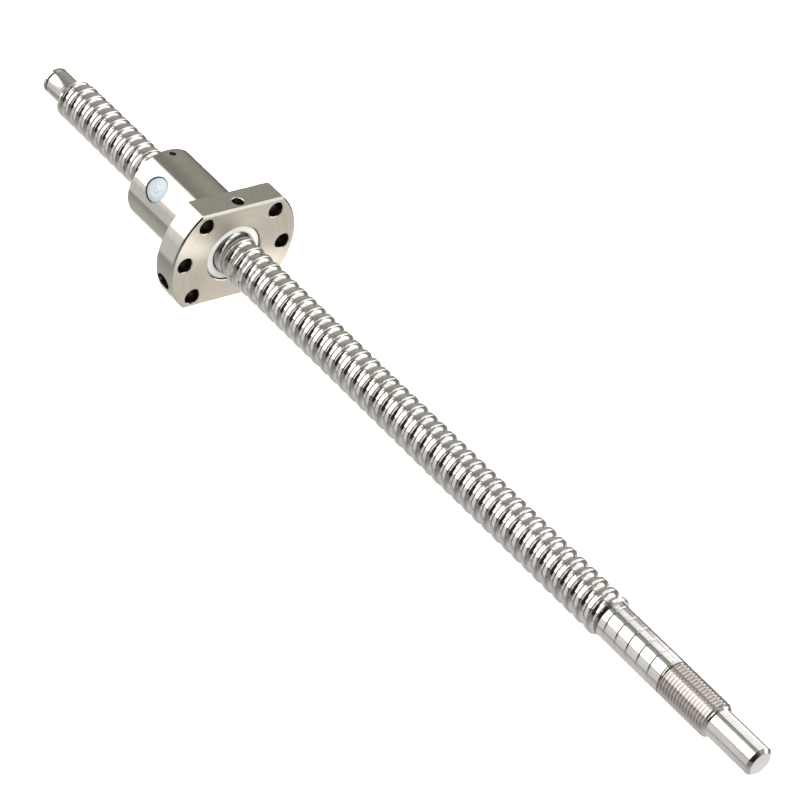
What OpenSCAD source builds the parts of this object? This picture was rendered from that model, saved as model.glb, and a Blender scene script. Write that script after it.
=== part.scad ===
// Flanged ball screw assembly: a rolled screw with machined ends, and a single nut whose balls
// run in three circuits, each closed by its own deflector plug.
//
// The X axis is the screw's axis. The origin is on that axis at the shoulder that the fixed
// bearing rests on, +X points along the drive end, and +Z is square to the flange's upper flat.

/* [Screw] */
// Diameter over the lands of the thread
screw_d = 12; // [11.8:0.1:12.2]
// Advance of the nut in one turn
lead = 4; // [4:0.1:4.2]
// Length of the threaded part
thread_len = 236; // [200:4:320]
// Distance along the axis from the groove's middle, straight out along +Y, to the shoulder
groove_phase = 0.8; // [0:0.1:3.9]
// Diameter at the bottom of the ball groove
root_d = 9.6; // [9.5:0.1:9.8]

/* [Fixed end] */
// Diameter of the bearing journal
journal_d = 10; // [9.9:0.05:10.1]
// Length from the shoulder to the first turn of the lock nut's thread
journal_len = 22.5; // [20:0.5:24]
// Length from the shoulder to the end of the lock nut's thread
lock_thread_end = 39; // [36:0.5:42]
// Pitch of the lock nut's thread
lock_pitch = 1; // [1:0.25:1.5]
// Diameter of the drive stub
stub_d = 8; // [7:0.5:8]
// Length of the drive stub
stub_len = 15; // [10:1:30]
// Chamfer at the end of the drive stub
stub_chamfer = 0.9; // [0.3:0.1:1.2]

/* [Floated end] */
// Diameter of the floated bearing journal
float_d = 8; // [7:0.5:9]
// Length of the floated bearing journal
float_len = 10; // [9:0.5:14]
// Distance from the shoulder to the retaining ring's groove
ring_groove_at = 7.9; // [7:0.1:8.2]
// Width of the retaining ring's groove
ring_groove_w = 0.9; // [0.7:0.1:1.1]
// Diameter at the bottom of the retaining ring's groove
ring_groove_d = 7.2; // [6.6:0.1:7.6]

/* [Nut] */
// Distance from the nut's front face to the fixed bearing's shoulder
nut_front_at = 158; // [60:0.5:170]
// Length of the nut over its flange
nut_len = 35; // [34:0.5:38]
// Diameter of the nut's round body
body_d = 22; // [21.5:0.1:22.5]
// Diameter of the flange
flange_d = 40; // [39:0.5:42]
// Thickness of the flange
flange_t = 7.5; // [6.5:0.5:8]
// Width of the flange across its two flats
flange_w = 30; // [29:0.5:31]
// Diameter of the bolt circle
bolt_circle_d = 32; // [31.5:0.5:32.5]
// Diameter of a bolt hole
bolt_hole_d = 4.5; // [4.2:0.1:4.8]
// Chamfer along the nut's outer edges
nut_chamfer = 0.5; // [0.2:0.1:0.8]

/* [Recirculation] */
// Diameter of a ball
ball_d = 2.381; // [2.3:0.01:2.4]
// Number of balls in one circuit
balls_per_circuit = 15; // [13:1:15]
// Diameter of a deflector plug
plug_d = 7.4; // [7:0.1:7.6]
// About how far from the nut's rear face the first deflector plug is: the plug goes to the
// nearest place between two turns of the groove
first_plug_at = 10; // [9.5:0.1:10.5]
// Angle of the first deflector plug about the screw, from +Y towards +Z
first_plug_angle = 146.7; // [140:1:150]

/* [Wipers and ports] */
// Outer diameter of a wiper ring
wiper_d = 16.7; // [16.4:0.1:16.7]
// Hole of a wiper ring
wiper_hole_d = 12.5; // [12.4:0.1:12.8]
// Diameter of the seat that a wiper ring sits in
seat_d = 17; // [17:0.1:17.4]
// Diameter of the grease port in the upper flat
flat_port_d = 3.3; // [3:0.1:3.6]
// Diameter of the grease port in the flange's rim
rim_port_d = 5; // [4.6:0.1:5.2]

/* [Hidden] */
$fn = 64;
CIRCUITS = ["rear", "middle", "front"];
function ball_name(circuit, i) = str("ball_", circuit, "_", i + 1);

// Flat facets around one turn of each thread
SCREW_SIDES = 16;
LOCK_SIDES = 12;
// A thread's facets are chords, and this is how far a chord's middle sits in from the circle
CHORD = cos(180 / SCREW_SIDES);
// Closer than this along the axis, two places on a thread are one
SAME = 1e-6;

screw_r = screw_d / 2;
// Radius of the circle that the balls' centres run on
ball_circle_r = 6.15;
// Half the width of the screw's groove where it meets the land, and at half its depth
groove_edge = 1.32;
groove_mid = 0.9;
groove_mid_r = 5.18;
// Radius of the nut's threaded bore, and its groove, at the middle of a chord
bore_r = 6.28;
bore_edge = 1.25;
bore_mid = 0.95;
bore_mid_r = 7.12;
bore_top_r = 7.5;
// The lock nut's thread, with a crest just inside the journal's diameter
lock_crest_r = journal_d / 2 - 0.03;
lock_root_r = lock_crest_r - 0.61 * lock_pitch;
lock_crest_w = 0.16 * lock_pitch;
lock_end_chamfer = 0.6;

nut_front = -nut_front_at;
nut_rear = nut_front - nut_len;
flange_back = nut_front - flange_t;
front_seat_depth = 2.7;
front_wiper_t = 2.1;
rear_seat_depth = 3.7;
rear_wiper_t = 3;
rear_wiper_inset = 0.5;
wiper_chamfer = 0.3;
wiper_port_d = 1.9;
wiper_port_from_rear = 2.6;
bolt_angles = [0, 45, 135, 180, 225, 315];

plug_gap = 0.05;
plug_recess = 0.25;
plug_foot_r = bore_r + 0.1;
plug_pitch = lead * 4 / 3;
plug_turn = 120;
// Angle each side of a deflector plug's middle in which a ball crosses the land
cross_angle = 25;
cross_rise = 1.25;
channel_r = ball_d / 2 + 0.12;

flat_port_from_front = 3;
rim_port_from_front = 4.4;
rim_port_angle = 201.5;
passage_d = 1.2;
passage_inset = 0.2;

// Turns a shape built along +Z so that it lies along +X
module along_x(x) {
    translate([x, 0, 0]) rotate([0, 90, 0]) children();
}

// Turns a shape built along +Z so that it points straight out from the screw's axis
module outwards(x, angle) {
    translate([x, 0, 0]) rotate([angle - 90, 0, 0]) children();
}

function point_at(x, r, angle) = [x, r * cos(angle), r * sin(angle)];

// One pitch of a thread is a list of [distance along the axis, radius], starting at 0
function pitch_start(place, pitch) = pitch * floor(place / pitch + SAME);
function points_up_to(profile, place) = len([for (p = profile) if (p[0] <= place + SAME) 1]);
function points_before(profile, place) = len([for (p = profile) if (p[0] < place - SAME) 1]);
function thread_radius(profile, pitch, place) =
    let (
        along = place - pitch_start(place, pitch),
        n = points_up_to(profile, along) - 1,
        low = profile[n],
        high = n + 1 < len(profile) ? profile[n + 1] : [pitch, profile[0][1]]
    )
    low[1] + (high[1] - low[1]) * (along - low[0]) / (high[0] - low[0]);

// A right-hand threaded bar between two places on the axis, with flat ends
module threaded_bar(profile, pitch, phase, from, to, sides) {
    count = len(profile);
    shift = [for (j = [0:sides - 1]) phase + pitch * j / sides];
    first = [for (s = shift)
        let (turn = pitch_start(from - s, pitch))
        count * turn / pitch + points_up_to(profile, from - s - turn) - 1];
    last = [for (s = shift)
        let (turn = pitch_start(to - s, pitch))
        count * turn / pitch + points_before(profile, to - s - turn)];
    low = round(min(first));
    columns = round(max(last)) - low + 1;
    function held(j, m) = min(max(m, first[j]), last[j]);
    function place(j, m) = shift[j] + profile[m - count * floor(m / count)][0] + pitch * floor(m / count);
    function corner(j, m) =
        let (x = min(max(place(j, held(j, m)), from), to))
        point_at(x, thread_radius(profile, pitch, x - shift[j]), 360 * j / sides);
    function number(j, m) =
        j == sides ? number(0, m + count) : j * columns + round(held(j, m)) - low;
    corners = [for (j = [0:sides - 1], m = [low:low + columns - 1]) corner(j, m)];
    near_middle = len(corners);
    far_middle = near_middle + 1;
    walls = [for (j = [0:sides - 1], m = [low - count:low + columns - 1])
        let (
            a = number(j, m),
            b = number(j, m + 1),
            c = number(j + 1, m + 1),
            d = number(j + 1, m)
        )
        each [if (a != b && b != c) [a, b, c], if (a != d && c != d) [a, c, d]]];
    near_end = [for (j = [0:sides - 1]) [number(j, low - count), number(j + 1, low - 2 * count), near_middle]];
    top = low + columns + count;
    far_end = [for (j = [0:sides - 1]) [number(j + 1, top), number(j, top), far_middle]];
    polyhedron(
        points = concat(corners, [[from, 0, 0], [to, 0, 0]]),
        faces = concat(walls, near_end, far_end)
    );
}

// One pitch of the ball thread, from the middle of the groove
function ball_thread(edge, edge_r, mid, mid_r, bottom_r) = [
    [0, bottom_r],
    [mid, mid_r],
    [edge, edge_r],
    [lead - edge, edge_r],
    [lead - mid, mid_r]
];

module screw_shaft() {
    screw_profile = ball_thread(groove_edge, screw_r, groove_mid, groove_mid_r, root_d / 2);
    lock_profile = [
        [0, lock_crest_r],
        [lock_crest_w, lock_crest_r],
        [(lock_pitch + lock_crest_w) / 2, lock_root_r]
    ];
    lock_bar_end = lock_thread_end - lock_end_chamfer;
    color("silver") union() {
        threaded_bar(screw_profile, lead, groove_phase, -thread_len, 0, SCREW_SIDES);
        along_x(0) cylinder(h = journal_len, d = journal_d);
        threaded_bar(lock_profile, lock_pitch, 0.25, journal_len, lock_bar_end, LOCK_SIDES);
        along_x(lock_bar_end)
            cylinder(h = lock_end_chamfer, r1 = lock_root_r, r2 = lock_root_r - 0.2);
        along_x(lock_thread_end) cylinder(h = stub_len - stub_chamfer, d = stub_d);
        along_x(lock_thread_end + stub_len - stub_chamfer)
            cylinder(h = stub_chamfer, d1 = stub_d, d2 = stub_d - 2 * stub_chamfer);
        floated_journal();
    }
}

module floated_journal() {
    end_chamfer = 0.4;
    groove_far = ring_groove_at + ring_groove_w;
    translate([-thread_len, 0, 0]) rotate([0, -90, 0]) {
        cylinder(h = ring_groove_at, d = float_d);
        translate([0, 0, ring_groove_at]) cylinder(h = ring_groove_w, d = ring_groove_d);
        translate([0, 0, groove_far]) cylinder(h = float_len - groove_far - end_chamfer, d = float_d);
        translate([0, 0, float_len - end_chamfer])
            cylinder(h = end_chamfer, d1 = float_d, d2 = float_d - 2 * end_chamfer);
    }
}

// The space inside the nut's threaded bore
module bore_space(from, to) {
    profile = ball_thread(bore_edge, bore_r / CHORD, bore_mid, bore_mid_r / CHORD, bore_top_r / CHORD);
    threaded_bar(profile, lead, groove_phase, from, to, SCREW_SIDES);
}

function plug_x(n) =
    let (between = groove_phase + lead * (first_plug_angle / 360 + 0.5))
    between + lead * round((nut_rear + first_plug_at - between) / lead) + plug_pitch * n;
function plug_angle(n) = first_plug_angle + plug_turn * n;

module nut_body() {
    color("lightgray") difference() {
        nut_blank();
        along_x(nut_rear - 1) cylinder(h = 1 + rear_seat_depth, d = seat_d);
        along_x(nut_front - front_seat_depth) cylinder(h = 1 + front_seat_depth, d = seat_d);
        bore_space(nut_rear + rear_seat_depth - 0.5, nut_front - front_seat_depth + 0.5);
        for (angle = bolt_angles)
            translate([flange_back - 1, 0, 0]) rotate([angle, 0, 0]) translate([0, bolt_circle_d / 2, 0])
                along_x(0) cylinder(h = flange_t + 2, d = bolt_hole_d);
        for (n = [0:2])
            outwards(plug_x(n), plug_angle(n)) cylinder(h = body_d, d = plug_d + 2 * plug_gap);
        outwards(nut_rear + wiper_port_from_rear, 90) cylinder(h = body_d, d = wiper_port_d);
        grease_port(nut_front - flat_port_from_front, 90, flat_port_d, flange_w / 2 - 5);
        grease_port(nut_front - rim_port_from_front, rim_port_angle, rim_port_d, flange_d / 2 - 8);
    }
}

// Round body and flange, before anything is cut into them
module nut_blank() {
    along_x(nut_rear) cylinder(h = nut_chamfer, d1 = body_d - 2 * nut_chamfer, d2 = body_d);
    along_x(nut_rear + nut_chamfer) cylinder(h = nut_len - nut_chamfer - 1, d = body_d);
    intersection() {
        union() {
            along_x(flange_back) cylinder(h = flange_t - nut_chamfer, d = flange_d);
            along_x(nut_front - nut_chamfer)
                cylinder(h = nut_chamfer, d1 = flange_d, d2 = flange_d - 2 * nut_chamfer);
        }
        translate([flange_back - 1, -flange_d, -flange_w / 2])
            cube([flange_t + 2, 2 * flange_d, flange_w]);
    }
}

// A tapped port, with a fine passage from its bottom into the threaded bore behind the wiper
module grease_port(x, angle, d, bottom_r) {
    outwards(x, angle) translate([0, 0, bottom_r]) cylinder(h = flange_d, d = d);
    outwards(x - d / 2 + passage_d / 2 + passage_inset, angle)
        translate([0, 0, screw_r]) cylinder(h = bottom_r, d = passage_d);
}

module wiper(x, thickness) {
    color("white") along_x(x) difference() {
        union() {
            cylinder(h = wiper_chamfer, d1 = wiper_d - 2 * wiper_chamfer, d2 = wiper_d);
            translate([0, 0, wiper_chamfer]) cylinder(h = thickness - 2 * wiper_chamfer, d = wiper_d);
            translate([0, 0, thickness - wiper_chamfer])
                cylinder(h = wiper_chamfer, d1 = wiper_d, d2 = wiper_d - 2 * wiper_chamfer);
        }
        translate([0, 0, -1]) cylinder(h = thickness + 2, d = wiper_hole_d);
    }
}

module front_wiper() {
    wiper(nut_front - front_seat_depth + 0.05, front_wiper_t);
}

module rear_wiper() {
    wiper(nut_rear + rear_wiper_inset, rear_wiper_t);
}

// A ball's centre on circuit n, at an angle turned on from the middle of that circuit's plug
function share_crossed(turned) = min(max(turned / cross_angle, -1), 1);
function ball_x(n, turned) = plug_x(n) + lead * turned / 360 - lead / 2 * sin(90 * share_crossed(turned));
function ball_r(turned) = ball_circle_r + cross_rise * cos(90 * share_crossed(turned));
function ball_centre(n, turned) = point_at(ball_x(n, turned), ball_r(turned), plug_angle(n) + turned);

// The path that the plug's channel gives the balls, as a tube of square-cut rings
module channel(n) {
    step = 5;
    reach = 45;
    sides = 10;
    angles = [-reach:step:reach];
    centres = [for (t = angles) ball_centre(n, t)];
    rings = len(centres);
    function heading(i) =
        let (d = centres[min(i + 1, rings - 1)] - centres[max(i - 1, 0)])
        d / norm(d);
    function ring(i) =
        let (
            h = heading(i),
            side = cross(h, point_at(0, 1, plug_angle(n))),
            s = side / norm(side),
            up = cross(h, s)
        )
        [for (k = [0:sides - 1])
            centres[i] + channel_r / cos(180 / sides) * (s * cos(360 * k / sides) + up * sin(360 * k / sides))];
    polyhedron(
        points = [for (i = [0:rings - 1]) each ring(i)],
        faces = concat(
            [for (i = [0:rings - 2], k = [0:sides - 1])
                let (a = i * sides + k, b = i * sides + (k + 1) % sides)
                each [[a, a + sides, b + sides], [a, b + sides, b]]],
            [[for (k = [0:sides - 1]) k]],
            [[for (k = [0:sides - 1]) rings * sides - 1 - k]]
        )
    );
}

module deflector(n) {
    color("aliceblue") difference() {
        intersection() {
            outwards(plug_x(n), plug_angle(n)) cylinder(h = body_d, d = plug_d);
            along_x(plug_x(n) - plug_d) cylinder(h = 2 * plug_d, d = body_d - 2 * plug_recess);
        }
        along_x(plug_x(n) - plug_d) cylinder(h = 2 * plug_d, r = plug_foot_r);
        channel(n);
    }
}

module ball(n, i) {
    turned = (i - (balls_per_circuit - 1) / 2) * 360 / balls_per_circuit;
    color("gainsboro") translate(ball_centre(n, turned)) sphere(d = ball_d);
}

screw_shaft();
nut_body();
front_wiper();
rear_wiper();
for (n = [0:2]) {
    deflector(n);
    for (i = [0:balls_per_circuit - 1])
        ball(n, i);
}
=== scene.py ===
"""Looks of the ball screw assembly, built in metres in the CAD model's frame.

+X runs along the screw's axis towards the drive end, and the origin is at the fixed bearing's
shoulder. Lengths are written in millimetres times MM. Angles are in degrees about +X, from +Y
towards +Z.
"""
import math

import bmesh
import bpy
from mathutils import Matrix, Vector


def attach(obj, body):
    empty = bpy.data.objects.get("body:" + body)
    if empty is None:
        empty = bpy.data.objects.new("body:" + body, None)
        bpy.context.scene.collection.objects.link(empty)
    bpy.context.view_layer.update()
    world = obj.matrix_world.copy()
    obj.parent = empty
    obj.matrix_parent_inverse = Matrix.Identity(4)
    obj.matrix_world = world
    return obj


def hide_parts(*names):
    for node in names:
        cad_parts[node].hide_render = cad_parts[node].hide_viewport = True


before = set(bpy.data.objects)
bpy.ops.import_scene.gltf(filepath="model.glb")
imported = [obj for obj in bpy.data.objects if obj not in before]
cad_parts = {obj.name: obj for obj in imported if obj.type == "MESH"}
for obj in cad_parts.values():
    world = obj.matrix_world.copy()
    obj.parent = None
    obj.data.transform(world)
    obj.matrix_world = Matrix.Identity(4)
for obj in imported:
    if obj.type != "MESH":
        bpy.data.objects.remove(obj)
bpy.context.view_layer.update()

MM = 0.001

# Screw: round groove of radius GROOVE_ARC_R about a line at GROOVE_CENTRE_R from the axis
SCREW_R = 6.0 * MM
LEAD = 4.0 * MM
THREAD_LEN = 236.0 * MM
GROOVE_PHASE = 0.8 * MM
GROOVE_CENTRE_R = 6.13 * MM
GROOVE_ARC_R = 1.26 * MM
LAND_EDGE_R = 0.18 * MM
END_BEVEL = 0.5 * MM

# Fixed end: journal with the groove's faint trace, lock nut's thread, drive stub
JOURNAL_R = 5.0 * MM
JOURNAL_LEN = 22.5 * MM
TRACE_DEPTH = 0.2 * MM
TRACE_HALF = 0.3 * MM
TRACE_SIDE = 105
TRACE_STEEPNESS = 1.6
LOCK_END = 39.0 * MM
LOCK_PITCH = 1.0 * MM
LOCK_PHASE = 0.2 * MM
LOCK_CREST_R = 4.97 * MM
LOCK_DEPTH = 0.58 * MM
LOCK_ROOT_HALF = 0.06 * MM
LOCK_FLANK = 0.38 * MM
LOCK_UNDERCUT = 0.1 * MM
LOCK_BEVEL = 0.7 * MM
STUB_R = 4.0 * MM
STUB_END = 54.0 * MM
STUB_FILLET = 0.15 * MM
STUB_BEVEL = 0.9 * MM

# Floated end
FLOAT_R = 4.0 * MM
FLOAT_LEN = 10.0 * MM
RING_GROOVE_AT = 7.9 * MM
RING_GROOVE_W = 0.9 * MM
RING_GROOVE_R = 3.6 * MM
FLOAT_BEVEL = 0.4 * MM
FLOAT_FILLET = 0.3 * MM

# Nut
NUT_FRONT = -158.0 * MM
NUT_LEN = 35.0 * MM
BODY_R = 11.0 * MM
FLANGE_R = 19.99 * MM
FLANGE_T = 7.5 * MM
FLAT_HALF = 15.0 * MM
BOLT_CIRCLE_R = 16.0 * MM
BOLT_HOLE_R = 2.25 * MM
BOLT_ANGLES = (0, 45, 135, 180, 225, 315)
BOLT_HOLE_EDGE = 0.25 * MM
NUT_BEVEL = 0.5 * MM
FLANGE_BACK_BEVEL = 0.3 * MM
FLAT_BEVEL = 0.6 * MM
BODY_FILLET = 0.4 * MM
SEAT_R = 8.5 * MM
SEAT_EDGE = 0.3 * MM
FRONT_SEAT = 2.7 * MM
REAR_SEAT = 3.7 * MM
BORE_R = 6.28 * MM
BORE_GROOVE_R = 1.29 * MM
NUT_REAR = NUT_FRONT - NUT_LEN
FLANGE_BACK = NUT_FRONT - FLANGE_T

# Recirculation
BALL_CIRCLE_R = 6.15 * MM
PLUG_R = 3.7 * MM
PLUG_HEAD_R = BODY_R - 0.25 * MM
PLUG_NECK_R = 9 * MM
PLUG_FOOT_R = BORE_R + 0.1 * MM
PLUG_HOLE_R = 3.75 * MM
PLUG_HOLE_MIDDLE = 7.9 * MM
PLUG_HOLE_BOTTOM = 5.9 * MM
FIRST_PLUG_X = NUT_REAR + 9.43 * MM
FIRST_PLUG_ANGLE = 146.7
PLUG_TURN = 120
PLUG_STEP = LEAD * 4 / 3
PLUG_NAMES = ("rear", "middle", "front")
CHANNEL_R = 1.31 * MM
CHANNEL_LIFT = 1.25 * MM
CROSSING_HALF = 25

# Moulded rings on a plug's head: distance from its middle and height over PLUG_HEAD_R, in mm
PLUG_RINGS = [
    (0.35, 0.0), (0.45, 0.05), (0.85, 0.05), (0.95, 0.0), (1.7, 0.0), (1.8, 0.04),
    (2.35, 0.04), (2.45, 0.0), (3.15, -0.02), (3.4, -0.12), (3.7, -0.55),
]

# Wipers: where each one starts and its thickness
WIPER_R = 8.35 * MM
WIPER_HOLE_R = 6.25 * MM
WIPER_EDGE = 0.3 * MM
WIPER_LIP = 0.25 * MM
FRONT_WIPER = (NUT_FRONT - FRONT_SEAT + 0.05 * MM, 2.1 * MM)
REAR_WIPER = (NUT_REAR + 0.5 * MM, 3.0 * MM)

# Ports: place along the axis, angle, radius, and the bottom's distance from the axis
FLAT_PORT = (NUT_FRONT - 3.0 * MM, 90, 1.65 * MM, 10 * MM)
RIM_PORT = (NUT_FRONT - 4.4 * MM, 201.5, 2.5 * MM, 12 * MM)
WIPER_PORT = (NUT_REAR + 2.6 * MM, 90, 0.95 * MM, 7.5 * MM)
FLAT_PORT_EDGE = 0.15 * MM

# Meshes: points round a thread or plug, a turned piece, the nut, a radial hole and a bolt hole
AROUND = 96
ROUND = 160
NUT_ROUND = 192
HOLE_ROUND = 72
BOLT_HOLE_ROUND = 64
CHANNEL_ROUND = 20
SHARP_ANGLE = 28
WELD = 1e-7
PAST = 1 * MM  # how far a cutter goes past the surface that it cuts

# Materials
GROUND_LIGHT = (0.44, 0.425, 0.39)
GROUND_DARK = (0.37, 0.355, 0.32)
GROUND_EDGE = (0.62, 0.61, 0.58, 1)
GROUND_LINES = 2400.0
FACE_LIGHT = (0.51, 0.475, 0.415)
FACE_DARK = (0.44, 0.405, 0.35)
POLISHED_LIGHT = (0.52, 0.51, 0.495)
POLISHED_DARK = (0.45, 0.44, 0.425)
POLISHED_EDGE = (0.72, 0.71, 0.69, 1)
POLISHED_LINES = (2600.0, 900.0)
LOCK_ROSE = (0.47, 0.425, 0.41, 1)
# Painted shade: near-black steel for the walls of the bolt holes
PAINTED_HOLE_SHADE_PALE = (0.09, 0.08, 0.07)
PAINTED_HOLE_SHADE_DEEP = (0.02, 0.017, 0.013)
BALL_LIGHT = (0.84, 0.84, 0.85)
BALL_DARK = (0.76, 0.76, 0.78)
FLOOR_COLOUR = (0.93, 0.93, 0.93, 1)

# Camera: its place, and the directions to the right and up in its picture
CAMERA_PLACE = (0.37912, -0.49443, 0.49688)
CAMERA_RIGHT = Vector((0.59867, 0.77285, 0.21044))
CAMERA_UP = Vector((-0.57837, 0.23533, 0.78109))
CAMERA_LENS = 149.38
CAMERA_SENSOR = 36.0

# Studio: where the lights are aimed, and the surroundings' colours along STUDIO_AXIS, from 0 at its
# far end, behind the object as the camera sees it, to 1 on the camera's side, which is dark
MIDDLE = (-0.10, 0.0, 0.0)
FIXED_HALF = (-0.04, 0.0, 0.0)
NUT_MIDDLE = (-0.16, 0.0, 0.0)
FLOOR_Z = -0.6
FLOOR_HALF = 6
STUDIO_AXIS = (0.58, -0.74, 0.35)
STUDIO_STOPS = [
    (0.20, (0.66, 0.65, 0.60)),
    (0.43, (0.42, 0.415, 0.37)),
    (0.52, (0.44, 0.435, 0.40)),
    (0.63, (0.85, 0.84, 0.81)),
    (0.75, (0.25, 0.22, 0.19)),
    (0.90, (0.05, 0.030, 0.022)),
]


# ---------------------------------------------------------------- meshes

def at(x, r, degrees):
    """A point at distance r from the screw's axis."""
    a = math.radians(degrees)
    return Vector((x, r * math.cos(a), r * math.sin(a)))


def new_piece(name, mesh, body, material, stands_for):
    """Shades a mesh and makes it a piece that rides on a body in place of a CAD node."""
    mesh.name = name
    for p in mesh.polygons:
        p.use_smooth = True
    mesh.set_sharp_from_angle(angle=math.radians(SHARP_ANGLE))
    mesh.materials.clear()
    mesh.materials.append(material)
    obj = bpy.data.objects.new(name, mesh)
    bpy.context.scene.collection.objects.link(obj)
    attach(obj, body)
    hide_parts(stands_for)
    return obj


def from_bmesh(bm):
    """A mesh with its faces turned outwards."""
    bmesh.ops.recalc_face_normals(bm, faces=bm.faces)
    mesh = bpy.data.meshes.new("part")
    bm.to_mesh(mesh)
    bm.free()
    return mesh


def bridge(bm, near, far):
    """Faces between two closed loops of as many points."""
    count = len(near)
    for k in range(count):
        m = (k + 1) % count
        bm.faces.new((near[k], near[m], far[m], far[k]))


def skin_rows(columns):
    """A closed mesh round the axis. Each column is the list of (x, r) at one angle."""
    bm = bmesh.new()
    n = len(columns)
    rows = len(columns[0])
    grid = [[bm.verts.new(at(x, r, 360 * j / n)) for x, r in col] for j, col in enumerate(columns)]
    for j in range(n):
        near, far = grid[j], grid[(j + 1) % n]
        for i in range(rows - 1):
            bm.faces.new((near[i], near[i + 1], far[i + 1], far[i]))
    bm.faces.new([grid[j][0] for j in range(n)])
    bm.faces.new([grid[n - 1 - j][rows - 1] for j in range(n)])
    bmesh.ops.remove_doubles(bm, verts=bm.verts, dist=WELD)
    bmesh.ops.dissolve_degenerate(bm, dist=WELD, edges=bm.edges)
    return from_bmesh(bm)


def lathe(profile, n):
    """A closed solid turned from an outline of (x, r) points."""
    return skin_rows([profile] * n)


def ring_lathe(profile):
    """A ring turned from a closed outline of (x, r) points that stays clear of the axis."""
    bm = bmesh.new()
    grid = [[bm.verts.new(at(x, r, 360 * j / ROUND)) for x, r in profile] for j in range(ROUND)]
    for j in range(ROUND):
        bridge(bm, grid[j], grid[(j + 1) % ROUND])
    return from_bmesh(bm)


def joined(meshes):
    """Several meshes as one."""
    bm = bmesh.new()
    for m in meshes:
        bm.from_mesh(m)
        bpy.data.meshes.remove(m)
    mesh = bpy.data.meshes.new("part")
    bm.to_mesh(mesh)
    bm.free()
    return mesh


def cut(mesh, cutter):
    """The first mesh with the second taken out of it."""
    objs = []
    for m in (mesh, cutter):
        o = bpy.data.objects.new("cut", m)
        bpy.context.scene.collection.objects.link(o)
        objs.append(o)
    mod = objs[0].modifiers.new("cut", "BOOLEAN")
    mod.object = objs[1]
    mod.operation = "DIFFERENCE"
    mod.solver = "MANIFOLD"
    bpy.context.view_layer.update()
    graph = bpy.context.evaluated_depsgraph_get()
    done = bpy.data.meshes.new_from_object(objs[0].evaluated_get(graph))
    for o in objs:
        m = o.data
        bpy.data.objects.remove(o)
        bpy.data.meshes.remove(m)
    return done


def arc(cx, cr, radius, start, end, steps):
    """Points (x, r) of an arc about (cx, cr), with angles in degrees from +x."""
    return [
        (
            cx + radius * math.cos(math.radians(start + (end - start) * i / steps)),
            cr + radius * math.sin(math.radians(start + (end - start) * i / steps)),
        )
        for i in range(steps + 1)
    ]


# ---------------------------------------------------------------- threads

# Half of the ball groove's width at the screw's outer radius.
GROOVE_HALF = math.sqrt(GROOVE_ARC_R**2 - (GROOVE_CENTRE_R - SCREW_R) ** 2)


def ball_groove_r(w, _angle):
    """Radius of the screw at a distance w from the nearest groove's middle."""
    w = abs(w)
    half = GROOVE_HALF
    if w >= half + LAND_EDGE_R:
        return SCREW_R
    depth_here = GROOVE_CENTRE_R - math.sqrt(max(GROOVE_ARC_R**2 - w * w, 0.0))
    if w < half - LAND_EDGE_R:
        return depth_here
    low = GROOVE_CENTRE_R - math.sqrt(GROOVE_ARC_R**2 - (half - LAND_EDGE_R) ** 2)
    t = (w - half + LAND_EDGE_R) / (2 * LAND_EDGE_R)
    return low + (SCREW_R - low) * math.sin(t * math.pi / 2)


def bore_groove_r(w, _angle):
    """Radius of the nut's bore at a distance w from the nearest groove's middle."""
    w = abs(w)
    if w >= BORE_GROOVE_R:
        return BORE_R
    return max(BORE_R, BALL_CIRCLE_R + math.sqrt(BORE_GROOVE_R**2 - w * w))


def trace_r(w, angle):
    """Radius of the fixed journal, with the faint bottom of the ball groove left on one side."""
    share = max(0.0, 1 - abs(w) / TRACE_HALF)
    side = 0.5 + 0.5 * math.cos(math.radians(angle - TRACE_SIDE))
    near, seen = min(1.0, TRACE_STEEPNESS * share), min(1.0, TRACE_STEEPNESS * side**2)
    return JOURNAL_R - TRACE_DEPTH * near * seen


def lock_thread_r(w, _angle):
    """Radius of the lock nut's thread at a distance w from a root."""
    flank = max(0.0, abs(w) - LOCK_ROOT_HALF) / LOCK_FLANK
    return LOCK_CREST_R - LOCK_DEPTH * (1 - min(1.0, flank))


def groove_places():
    """Distances from a ball groove's middle that describe its section, over one lead."""
    half = GROOVE_HALF
    inside = [half * math.sin(math.radians(a)) for a in range(-75, 76, 15)]
    inside[0], inside[-1] = -half + LAND_EDGE_R, half - LAND_EDGE_R
    edge = [half - 0.5 * LAND_EDGE_R, half, half + 0.5 * LAND_EDGE_R, half + LAND_EDGE_R]
    return sorted([-e for e in edge] + inside + edge + [LEAD / 2])


def trace_places():
    """Distances from the middle of the groove's trace that describe its section."""
    steps = [TRACE_HALF * t for t in (0.25, 0.5, 0.8, 1.0)]
    return sorted([-t for t in steps] + [0.0] + steps + [LEAD / 4, LEAD / 2, -LEAD / 4])


def lock_places():
    """Distances from a root of the lock nut's thread, over one pitch."""
    flank = [LOCK_ROOT_HALF, LOCK_ROOT_HALF + LOCK_FLANK / 2, LOCK_ROOT_HALF + LOCK_FLANK]
    return [-p for p in reversed(flank)] + flank + [LOCK_PITCH / 2]


def helix_rows(pitch, phase, places, radius, start, end, limit):
    """For each angle, the (x, r) rows of a right-handed thread between two places on the axis.

    A groove's middle is at phase where the angle is 0. The thread's radius at a distance from that
    middle is radius(distance, angle), and nowhere more than limit(x).
    """
    first = math.floor((start - phase) / pitch) - 2
    last = math.ceil((end - phase) / pitch) + 1
    columns = []
    for j in range(AROUND):
        shift = phase + pitch * j / AROUND
        column = []
        for turn in range(first, last + 1):
            for place in places:
                x = min(max(shift + turn * pitch + place, start), end)
                w = (x - shift + pitch / 2) % pitch - pitch / 2
                column.append((x, min(radius(w, 360 * j / AROUND), limit(x))))
        columns.append(column)
    return columns


def beveled_ends(start, end, radius, bevel):
    """The most that a thread's radius may be at x, so that its two ends are chamfered."""
    return lambda x: radius - bevel + min(x - start, end - x, bevel)


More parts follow.
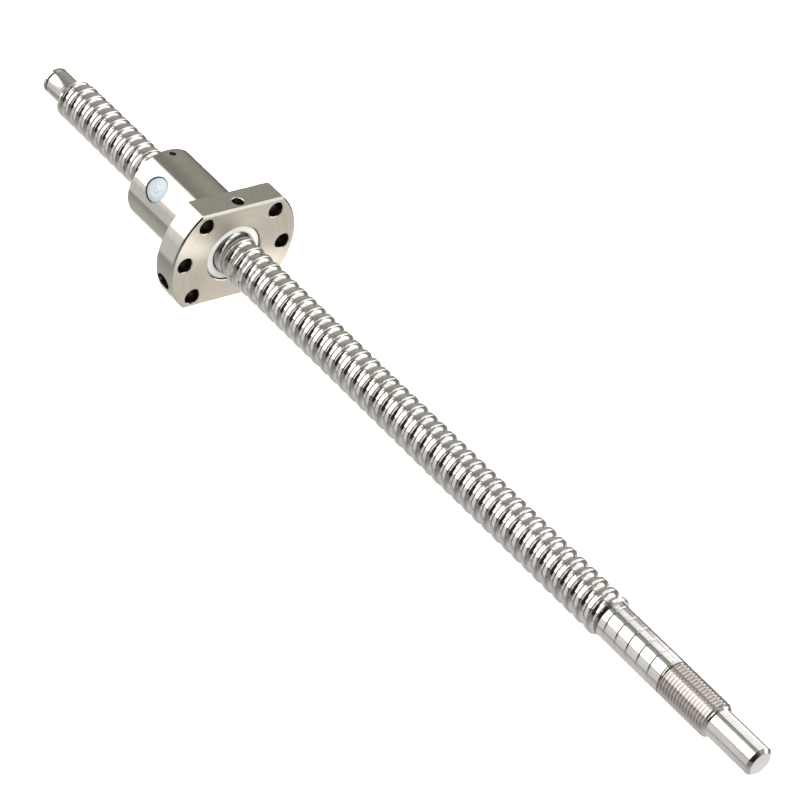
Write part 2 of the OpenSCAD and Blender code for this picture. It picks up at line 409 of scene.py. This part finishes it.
def stacked(*parts):
    """Columns of several stretches of the shaft, one after another along the axis."""
    return [sum((part[j] for part in parts), []) for j in range(len(parts[0]))]


def plain(profile):
    """Columns of a stretch that is the same all round."""
    return [list(profile)] * AROUND


def screw_mesh():
    """The whole screw, from its floated end to its drive end."""
    start = -THREAD_LEN
    far = start - FLOAT_LEN
    groove = start - RING_GROOVE_AT
    floated = [
        (far, FLOAT_R - FLOAT_BEVEL),
        (far + FLOAT_BEVEL, FLOAT_R),
        (groove - RING_GROOVE_W, FLOAT_R),
        (groove - RING_GROOVE_W, RING_GROOVE_R),
        (groove, RING_GROOVE_R),
        (groove, FLOAT_R),
        (start - FLOAT_FILLET, FLOAT_R),
    ] + arc(start - FLOAT_FILLET, FLOAT_R + FLOAT_FILLET, FLOAT_FILLET, -90, 0, 4)
    ball = helix_rows(
        LEAD, GROOVE_PHASE, groove_places(), ball_groove_r, start, 0.0,
        beveled_ends(start, 0.0, SCREW_R, END_BEVEL),
    )
    journal = helix_rows(
        LEAD, GROOVE_PHASE, trace_places(), trace_r, 0.0, JOURNAL_LEN, lambda x: JOURNAL_R,
    )
    lock_stop = LOCK_END - LOCK_UNDERCUT
    lock = helix_rows(
        LOCK_PITCH, LOCK_PHASE, lock_places(), lock_thread_r, JOURNAL_LEN, lock_stop,
        lambda x: LOCK_CREST_R - max(0.0, x - (lock_stop - LOCK_BEVEL)),
    )
    stub = [
        (LOCK_END, STUB_R + STUB_FILLET),
        (LOCK_END + STUB_FILLET, STUB_R),
        (STUB_END - STUB_BEVEL, STUB_R),
        (STUB_END, STUB_R - STUB_BEVEL),
    ]
    return skin_rows(stacked(plain(floated), ball, journal, lock, plain(stub)))


# ---------------------------------------------------------------- nut

def outward(x, degrees):
    """Turns a shape built along +X so that it points straight out from the axis at x."""
    a = math.radians(degrees)
    out = Vector((0, math.cos(a), math.sin(a)))
    along = Vector((1, 0, 0))
    side = out.cross(along)
    m = Matrix((out, along, side)).transposed().to_4x4()
    return Matrix.Translation((x, 0, 0)) @ m


def radial_hole(x, degrees, r, bottom, surface, edge=0.0):
    """A cutter for a hole that points out from the axis, with its edge broken if it has one."""
    top = surface + 2 * PAST
    profile = [(bottom, r), (top, r)]
    if edge:
        profile[1:] = [(surface - edge, r), (surface, r + edge), (top, r + edge)]
    mesh = lathe(profile, HOLE_ROUND)
    mesh.transform(outward(x, degrees))
    return mesh


def bolt_hole(degrees):
    """A cutter for one bolt hole, with both its edges broken."""
    e = BOLT_HOLE_EDGE
    mesh = lathe(
        [
            (FLANGE_BACK - PAST, BOLT_HOLE_R + e),
            (FLANGE_BACK, BOLT_HOLE_R + e),
            (FLANGE_BACK + e, BOLT_HOLE_R),
            (NUT_FRONT - e, BOLT_HOLE_R),
            (NUT_FRONT, BOLT_HOLE_R + e),
            (NUT_FRONT + PAST, BOLT_HOLE_R + e),
        ],
        BOLT_HOLE_ROUND,
    )
    mesh.transform(Matrix.Translation(at(0, BOLT_CIRCLE_R, degrees)))
    return mesh


def bore_mesh():
    """A cutter for both wiper seats and the threaded bore between them."""
    rear_floor = NUT_REAR + REAR_SEAT
    front_floor = NUT_FRONT - FRONT_SEAT
    e = SEAT_EDGE
    rear = [
        (NUT_REAR - PAST, SEAT_R + e),
        (NUT_REAR, SEAT_R + e),
        (NUT_REAR + e, SEAT_R),
        (rear_floor, SEAT_R),
    ]
    front = [
        (front_floor, SEAT_R),
        (NUT_FRONT - e, SEAT_R),
        (NUT_FRONT, SEAT_R + e),
        (NUT_FRONT + PAST, SEAT_R + e),
    ]
    middle = helix_rows(
        LEAD, GROOVE_PHASE, groove_places(), bore_groove_r, rear_floor, front_floor,
        lambda x: SEAT_R,
    )
    return skin_rows(stacked(plain(rear), middle, plain(front)))


def blank_mesh():
    """The nut's round body and flange, with the flats cut on the flange."""
    back, fillet = FLANGE_BACK, BODY_FILLET
    profile = (
        [(NUT_REAR, BODY_R - NUT_BEVEL), (NUT_REAR + NUT_BEVEL, BODY_R), (back - fillet, BODY_R)]
        + arc(back - fillet, BODY_R + fillet, fillet, -90, 0, 5)
        + [(back, FLANGE_R - FLANGE_BACK_BEVEL), (back + FLANGE_BACK_BEVEL, FLANGE_R)]
        + [(NUT_FRONT - NUT_BEVEL, FLANGE_R), (NUT_FRONT, FLANGE_R - NUT_BEVEL)]
    )
    mesh = lathe(profile, NUT_ROUND)
    bm = bmesh.new()
    bm.from_mesh(mesh)
    bpy.data.meshes.remove(mesh)
    for sign in (1, -1):
        flat = (0, 0, sign * FLAT_HALF), (0, 0, sign)
        bevel = (NUT_FRONT, 0, sign * (FLAT_HALF - FLAT_BEVEL)), (1, 0, sign)
        for point, normal in (flat, bevel):
            point, normal = Vector(point), Vector(normal).normalized()
            geometry = bm.verts[:] + bm.edges[:] + bm.faces[:]
            found = bmesh.ops.bisect_plane(
                bm, geom=geometry, plane_co=point, plane_no=normal, clear_outer=True, dist=1e-8
            )
            rim = [e for e in found["geom_cut"] if isinstance(e, bmesh.types.BMEdge)]
            bmesh.ops.holes_fill(bm, edges=[e for e in rim if e.is_boundary], sides=0)
    return from_bmesh(bm)


def plug_place(n):
    """Place along the axis and angle of a deflector plug."""
    return FIRST_PLUG_X + n * PLUG_STEP, FIRST_PLUG_ANGLE + n * PLUG_TURN


def nut_mesh():
    """The nut with its holes. The plug holes meet inside it, so their ends are cut one by one."""
    mesh = cut(blank_mesh(), joined([bolt_hole(a) for a in BOLT_ANGLES]))
    plugs = range(len(PLUG_NAMES))
    holes = [
        radial_hole(*plug_place(n), PLUG_HOLE_R, PLUG_HOLE_MIDDLE, BODY_R) for n in plugs
    ]
    holes.append(radial_hole(*FLAT_PORT, FLAT_HALF, FLAT_PORT_EDGE))
    holes.append(radial_hole(*RIM_PORT, FLANGE_R))
    holes.append(radial_hole(*WIPER_PORT, BODY_R))
    mesh = cut(mesh, joined(holes))
    for n in plugs:
        bottom = radial_hole(*plug_place(n), PLUG_HOLE_R, PLUG_HOLE_BOTTOM, PLUG_NECK_R)
        mesh = cut(mesh, bottom)
    return cut(mesh, bore_mesh())


def paint_hole_shade(mesh):
    """Gives the walls of the bolt holes the mesh's second material, a near-black steel that paints
    the shade inside the holes.
    """
    middles = [at(0, BOLT_CIRCLE_R, a) for a in BOLT_ANGLES]
    wall_r = BOLT_HOLE_R + 0.02 * MM
    for p in mesh.polygons:
        faces_sideways = abs(p.normal.x) <= 0.5
        if faces_sideways and FLANGE_BACK < p.center.x < NUT_FRONT:
            flat = Vector((0, p.center.y, p.center.z))
            if min((flat - m).length for m in middles) < wall_r:
                p.material_index = 1


# ---------------------------------------------------------------- plastic pieces

def plug_mesh(n):
    """A deflector plug: its round head follows the nut's body and carries faint moulded rings."""
    bm = bmesh.new()

    def loop(rho, height):
        """A circle of radius rho about the plug's middle, laid on a cylinder round the axis."""
        points = []
        for k in range(AROUND):
            a = 2 * math.pi * k / AROUND
            u, v = rho * math.cos(a), rho * math.sin(a)
            points.append(bm.verts.new((math.sqrt(height**2 - v * v), u, v)))
        return points

    loops = [loop(rho * MM, PLUG_HEAD_R + up * MM) for rho, up in PLUG_RINGS]
    centre = bm.verts.new((PLUG_HEAD_R, 0, 0))
    loops += [loop(PLUG_R, PLUG_NECK_R), loop(PLUG_R, PLUG_FOOT_R)]
    loops += [loop(rho * MM, PLUG_FOOT_R) for rho in (2.6, 1.4, 0.4)]
    last = bm.verts.new((PLUG_FOOT_R, 0, 0))
    for near, far in zip(loops, loops[1:]):
        bridge(bm, near, far)
    for k in range(AROUND):
        m = (k + 1) % AROUND
        bm.faces.new((centre, loops[0][k], loops[0][m]))
        bm.faces.new((last, loops[-1][m], loops[-1][k]))
    mesh = from_bmesh(bm)
    mesh.transform(outward(*plug_place(n)))
    return cut(mesh, channel_mesh(n))


def ball_path(n, turned):
    """A ball's centre on circuit n, at an angle turned on from the middle of its plug."""
    x, angle = plug_place(n)
    share = math.pi / 2 * min(max(turned / CROSSING_HALF, -1), 1)
    along = x + LEAD * turned / 360 - LEAD / 2 * math.sin(share)
    return at(along, BALL_CIRCLE_R + CHANNEL_LIFT * math.cos(share), angle + turned)


def channel_mesh(n):
    """A cutter along the path that the plug gives the balls."""
    bm = bmesh.new()
    centres = [ball_path(n, turned) for turned in range(-46, 47, 2)]
    out = at(0, 1, plug_place(n)[1])
    rings = []
    for i, c in enumerate(centres):
        heading = (centres[min(i + 1, len(centres) - 1)] - centres[max(i - 1, 0)]).normalized()
        side = heading.cross(out).normalized()
        up = heading.cross(side)
        ring = []
        for k in range(CHANNEL_ROUND):
            a = 2 * math.pi * k / CHANNEL_ROUND
            ring.append(bm.verts.new(c + CHANNEL_R * (side * math.cos(a) + up * math.sin(a))))
        rings.append(ring)
    for near, far in zip(rings, rings[1:]):
        bridge(bm, near, far)
    bm.faces.new(rings[0])
    bm.faces.new(rings[-1])
    return from_bmesh(bm)


def wiper_mesh(x, thickness):
    """A wiper ring with rounded edges and a thin lip at its hole on the side towards +X."""
    e = WIPER_EDGE
    face = x + thickness
    outer = arc(x + e, WIPER_R - e, e, 180, 90, 5) + arc(face - e, WIPER_R - e, e, 90, 0, 5)
    inner = [
        (face, WIPER_HOLE_R + 0.45 * MM),
        (face - WIPER_LIP, WIPER_HOLE_R + 0.1 * MM),
        (face - WIPER_LIP - 0.1 * MM, WIPER_HOLE_R),
        (x + 0.2 * MM, WIPER_HOLE_R),
        (x, WIPER_HOLE_R + 0.2 * MM),
    ]
    return ring_lathe(outer + inner)


# ---------------------------------------------------------------- materials

def set_stops(ramp, stops):
    """Gives a colour ramp its (place, colour) stops."""
    while len(ramp.elements) < len(stops):
        ramp.elements.new(0.5)
    for element, (place, colour) in zip(ramp.elements, stops):
        element.position = place
        element.color = (*colour, 1)


class Nodes:
    """A short way to write a material's node tree."""

    def __init__(self, name):
        self.material = bpy.data.materials.new(name)
        self.material.use_nodes = True
        self.tree = self.material.node_tree
        self.shader = self.tree.nodes["Principled BSDF"]

    def add(self, kind, inputs=None, **settings):
        """A new node, with its settings and the values or links of its inputs."""
        node = self.tree.nodes.new(kind)
        for key, value in settings.items():
            setattr(node, key, value)
        for key, value in (inputs or {}).items():
            self.put(node.inputs[key], value)
        return node

    def put(self, socket, value):
        """Links an output to the socket, or sets the socket to a value."""
        if isinstance(value, bpy.types.NodeSocket):
            self.tree.links.new(value, socket)
        else:
            socket.default_value = value

    def surface(self, colour, roughness, metallic=0.0):
        """Sets the three shader inputs that every material here has."""
        self.put(self.shader.inputs["Base Color"], colour)
        self.put(self.shader.inputs["Roughness"], roughness)
        self.shader.inputs["Metallic"].default_value = metallic

    def math(self, operation, a, b=0.0):
        node = self.add("ShaderNodeMath", operation=operation)
        self.put(node.inputs[0], a)
        self.put(node.inputs[1], b)
        return node.outputs[0]

    def ramp(self, value, stops):
        """The colour for a value, from (place, colour) stops."""
        node = self.add("ShaderNodeValToRGB", {"Fac": value})
        set_stops(node.color_ramp, stops)
        return node.outputs["Color"]

    def mix(self, share, first, second):
        """The first colour changed to the second by a share."""
        node = self.add("ShaderNodeMix", {0: share, 6: first, 7: second}, data_type="RGBA")
        return node.outputs[2]

    def spread(self, value, low, high, to_low, to_high):
        """The value brought from one range to another, and held inside it."""
        ends = {"From Min": low, "From Max": high, "To Min": to_low, "To Max": to_high}
        return self.add("ShaderNodeMapRange", {"Value": value, **ends}).outputs["Result"]

    def place(self):
        """The piece's own coordinates."""
        return self.add("ShaderNodeTexCoord").outputs["Object"]

    def turned(self):
        """x, distance from the axis and angle about it."""
        parts = self.add("ShaderNodeSeparateXYZ", {"Vector": self.place()})
        x, y, z = (parts.outputs[k] for k in "XYZ")
        square = self.math("ADD", self.math("MULTIPLY", y, y), self.math("MULTIPLY", z, z))
        return x, self.math("SQRT", square), self.math("ARCTAN2", z, y)

    def noise(self, vector, scale, detail=2.0, roughness=0.5):
        node = self.add(
            "ShaderNodeTexNoise",
            {"Vector": vector, "Scale": scale, "Detail": detail, "Roughness": roughness},
        )
        return node.outputs["Fac"]

    def lines_round(self, x, r, angle, x_scale, r_scale, detail, roughness):
        """Noise drawn out round the axis, as a lathe or a grinding wheel leaves it."""
        across = {"X": self.math("MULTIPLY", x, x_scale), "Y": self.math("MULTIPLY", r, r_scale)}
        vector = self.add("ShaderNodeCombineXYZ", {**across, "Z": angle}).outputs["Vector"]
        return self.noise(vector, 1.0, detail, roughness)

    def bump(self, height, strength, distance):
        """Bumps of a height in metres, at a share of their full strength."""
        inputs = {"Height": height, "Strength": strength, "Distance": distance}
        self.put(self.shader.inputs["Normal"], self.add("ShaderNodeBump", inputs).outputs["Normal"])


def ground_steel():
    """The nut's steel: fine lines round the axis and cloudy tint. Its front face is warmer."""
    n = Nodes("ground_steel")
    x, r, angle = n.turned()
    lines = n.lines_round(x, r, angle, GROUND_LINES, GROUND_LINES, 3.0, 0.6)
    clouds = n.noise(n.place(), 60.0, 3.0)
    mixed = n.math("ADD", n.math("MULTIPLY", lines, 0.6), n.math("MULTIPLY", clouds, 0.4))
    on_face = n.spread(x, NUT_FRONT - 0.12 * MM, NUT_FRONT - 0.02 * MM, 0.0, 1.0)
    body = n.ramp(mixed, [(0.3, GROUND_DARK), (0.62, GROUND_LIGHT)])
    face = n.ramp(mixed, [(0.3, FACE_DARK), (0.62, FACE_LIGHT)])
    gloss = n.spread(mixed, 0.3, 0.7, 0.22, 0.13)
    gloss = n.math("ADD", gloss, n.math("MULTIPLY", on_face, 0.3))
    n.surface(n.mix(on_face, body, face), gloss, metallic=1.0)
    n.shader.inputs["Specular Tint"].default_value = GROUND_EDGE
    n.shader.inputs["Anisotropic"].default_value = 0.75
    n.shader.inputs["Anisotropic Rotation"].default_value = 0.25
    tangent = n.add("ShaderNodeTangent", direction_type="RADIAL", axis="X")
    n.put(n.shader.inputs["Tangent"], tangent.outputs["Tangent"])
    n.bump(lines, 0.25, 0.00001)
    return n.material


def painted_hole_shade():
    """Painted shade inside the bolt holes: a dull, near-black steel that stands in for the shade
    there.
    """
    n = Nodes("painted_hole_shade")
    clouds = n.noise(n.place(), 500.0, 3.0)
    colour = n.ramp(clouds, [(0.35, PAINTED_HOLE_SHADE_DEEP), (0.7, PAINTED_HOLE_SHADE_PALE)])
    n.surface(colour, n.spread(clouds, 0.3, 0.7, 0.3, 0.5), metallic=1.0)
    return n.material


def screw_steel():
    """The screw's polished rolled steel. The lock nut's thread is rosier and a little duller."""
    n = Nodes("polished_steel")
    x, r, angle = n.turned()
    lines = n.lines_round(x, r, angle, *POLISHED_LINES, 2.0, 0.5)
    clouds = n.noise(n.place(), 90.0, 3.0)
    on_lock = n.math(
        "MULTIPLY",
        n.spread(x, JOURNAL_LEN - 0.2 * MM, JOURNAL_LEN + 0.2 * MM, 0.0, 1.0),
        n.spread(x, LOCK_END, LOCK_END - 0.2 * MM, 0.0, 1.0),
    )
    bright = n.ramp(clouds, [(0.3, POLISHED_DARK), (0.7, POLISHED_LIGHT)])
    colour = n.mix(n.math("MULTIPLY", on_lock, 0.5), bright, LOCK_ROSE)
    gloss = n.spread(lines, 0.3, 0.7, 0.08, 0.16)
    gloss = n.math("ADD", gloss, n.math("MULTIPLY", on_lock, 0.03))
    n.surface(colour, gloss, metallic=1.0)
    n.shader.inputs["Specular Tint"].default_value = POLISHED_EDGE
    n.bump(lines, 0.12, 0.000004)
    return n.material


def plastic(name, tint, shade, rough, clear):
    """Moulded plastic with a faint grain; clear is how much light passes under its surface."""
    n = Nodes(name)
    place = n.place()
    grain = n.noise(place, 2500.0, 3.0)
    clouds = n.noise(place, 180.0)
    colour = n.ramp(clouds, [(0.3, shade), (0.7, tint)])
    n.surface(colour, n.spread(grain, 0.3, 0.7, rough, rough + 0.12))
    n.shader.inputs["Subsurface Weight"].default_value = clear
    n.shader.inputs["Subsurface Radius"].default_value = (0.0008, 0.0009, 0.001)
    n.bump(grain, 0.15, 0.00001)
    return n.material


def ball_steel():
    """The balls' bright, nearly even steel."""
    n = Nodes("ball_steel")
    film = n.noise(n.place(), 900.0)
    colour = n.ramp(film, [(0.3, BALL_DARK), (0.7, BALL_LIGHT)])
    n.surface(colour, n.spread(film, 0.3, 0.7, 0.04, 0.10), metallic=1.0)
    return n.material


# ---------------------------------------------------------------- assembly

WIPER_WHITE = plastic("wiper_plastic", (0.93, 0.93, 0.91), (0.89, 0.89, 0.87), 0.35, 0.15)
PLUG_BLUE = plastic("deflector_plastic", (0.50, 0.555, 0.58), (0.38, 0.45, 0.49), 0.22, 0.25)
BALL = ball_steel()

new_piece("screw", screw_mesh(), "screw", screw_steel(), "screw_shaft")
nut = new_piece("nut", nut_mesh(), "nut", ground_steel(), "nut_body")
# The bolt holes' walls get near-black steel, painted shade inside the holes
nut.data.materials.append(painted_hole_shade())
paint_hole_shade(nut.data)
new_piece(
    "front_wiper_ring", wiper_mesh(*FRONT_WIPER), "nut", WIPER_WHITE,
    "front_wiper",
)
new_piece(
    "rear_wiper_ring", wiper_mesh(*REAR_WIPER), "carrier", WIPER_WHITE,
    "rear_wiper",
)
for n, place in enumerate(PLUG_NAMES):
    new_piece(
        f"deflector_plug_{place}", plug_mesh(n), "nut", PLUG_BLUE,
        f"deflector_{place}",
    )
for node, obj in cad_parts.items():
    if node.startswith("ball_"):
        obj.data.materials[0] = BALL


# ---------------------------------------------------------------- camera, floor and light

def add_camera():
    """The camera that the reference view was taken with."""
    data = bpy.data.cameras.new("camera")
    data.sensor_width = CAMERA_SENSOR
    data.lens = CAMERA_LENS
    data.clip_start = 0.01
    data.clip_end = 20.0
    cam = bpy.data.objects.new("camera", data)
    bpy.context.scene.collection.objects.link(cam)
    cam.matrix_world = turned_to(CAMERA_PLACE, CAMERA_RIGHT, CAMERA_UP)
    bpy.context.scene.camera = cam


def turned_to(place, right, up):
    """Where a camera or light is, from its place and the directions to its right and its top."""
    axes = Matrix((right, up, right.cross(up))).transposed().to_4x4()
    return Matrix.Translation(place) @ axes


def add_light(name, place, target, size_x, size_y, watts, spread=math.pi):
    """A soft rectangle of light at a place, aimed at a target. Its x side lies along the screw."""
    data = bpy.data.lights.new(name, "AREA")
    data.shape = "RECTANGLE"
    data.size = size_x
    data.size_y = size_y
    data.energy = watts
    data.spread = spread
    lamp = bpy.data.objects.new(name, data)
    lamp.visible_camera = False
    bpy.context.scene.collection.objects.link(lamp)
    away = (Vector(place) - Vector(target)).normalized()
    side = Vector((1, 0, 0))
    side = (side - away * side.dot(away)).normalized()
    lamp.matrix_world = turned_to(place, side, away.cross(side))
    return lamp


def add_lights():
    """A large key light and softer ones round it, and two that each do one thing only."""
    add_light("key", (-0.40, -0.49, 0.465), MIDDLE, 0.9, 0.76, 6.1)
    add_light("top_back", (0.02, 0.27, 0.43), FIXED_HALF, 0.66, 0.40, 1.15)
    add_light("top_front", (0.01, -0.14, 0.50), FIXED_HALF, 0.36, 0.34, 0.8)
    add_light("side_back", (0.05, 0.50, 0.17), FIXED_HALF, 0.7, 0.34, 1.3)
    add_light("low_front", (0.24, 0.27, -0.27), FIXED_HALF, 0.5, 0.3, 0.42)
    add_light("low_key", (-0.45, -0.64, -0.12), MIDDLE, 0.9, 0.55, 1.2)
    add_light("floor_light", (-0.75, 0.80, 0.45), (-0.75, 0.78, FLOOR_Z), 0.9, 0.9, 4.6, 1.3)
    ahead = add_light("ahead", (0.42, -0.09, 0.22), NUT_MIDDLE, 0.3, 0.3, 1.7)
    ahead.visible_glossy = False  # it brightens the plastic and not the metal
    across = add_light("across", (0.45, -0.075, -0.08), NUT_MIDDLE, 0.30, 0.30, 3.4)
    across.visible_diffuse = False  # it draws the streak on the flange's turned face only
    nut_only = bpy.data.collections.new("nut_only")
    nut_only.objects.link(nut)
    across.light_linking.receiver_collection = nut_only


def add_floor():
    """A plain floor under the object."""
    bm = bmesh.new()
    for x, y in ((-1, -1), (1, -1), (1, 1), (-1, 1)):
        bm.verts.new((x * FLOOR_HALF, y * FLOOR_HALF, FLOOR_Z))
    bm.faces.new(bm.verts[:])
    mesh = from_bmesh(bm)
    n = Nodes("floor")
    n.surface(FLOOR_COLOUR, 0.9)
    n.shader.inputs["Specular IOR Level"].default_value = 0.0
    mesh.materials.append(n.material)
    floor = bpy.data.objects.new("floor", mesh)
    bpy.context.scene.collection.objects.link(floor)


def add_world():
    """A plain studio, pale behind the object and dark on the camera's side."""
    world = bpy.data.worlds.new("studio")
    world.use_nodes = True
    tree = world.node_tree
    place = tree.nodes.new("ShaderNodeTexCoord")
    towards = tree.nodes.new("ShaderNodeVectorMath")
    towards.operation = "DOT_PRODUCT"
    towards.inputs[1].default_value = STUDIO_AXIS
    share = tree.nodes.new("ShaderNodeMapRange")
    share.inputs["From Min"].default_value = -1.0
    ramp = tree.nodes.new("ShaderNodeValToRGB")
    set_stops(ramp.color_ramp, STUDIO_STOPS)
    tree.links.new(place.outputs["Generated"], towards.inputs[0])
    tree.links.new(towards.outputs["Value"], share.inputs["Value"])
    tree.links.new(share.outputs["Result"], ramp.inputs["Fac"])
    tree.links.new(ramp.outputs["Color"], tree.nodes["Background"].inputs["Color"])
    bpy.context.scene.world = world


add_camera()
add_floor()
add_world()
add_lights()
bpy.context.scene.view_settings.view_transform = "Standard"
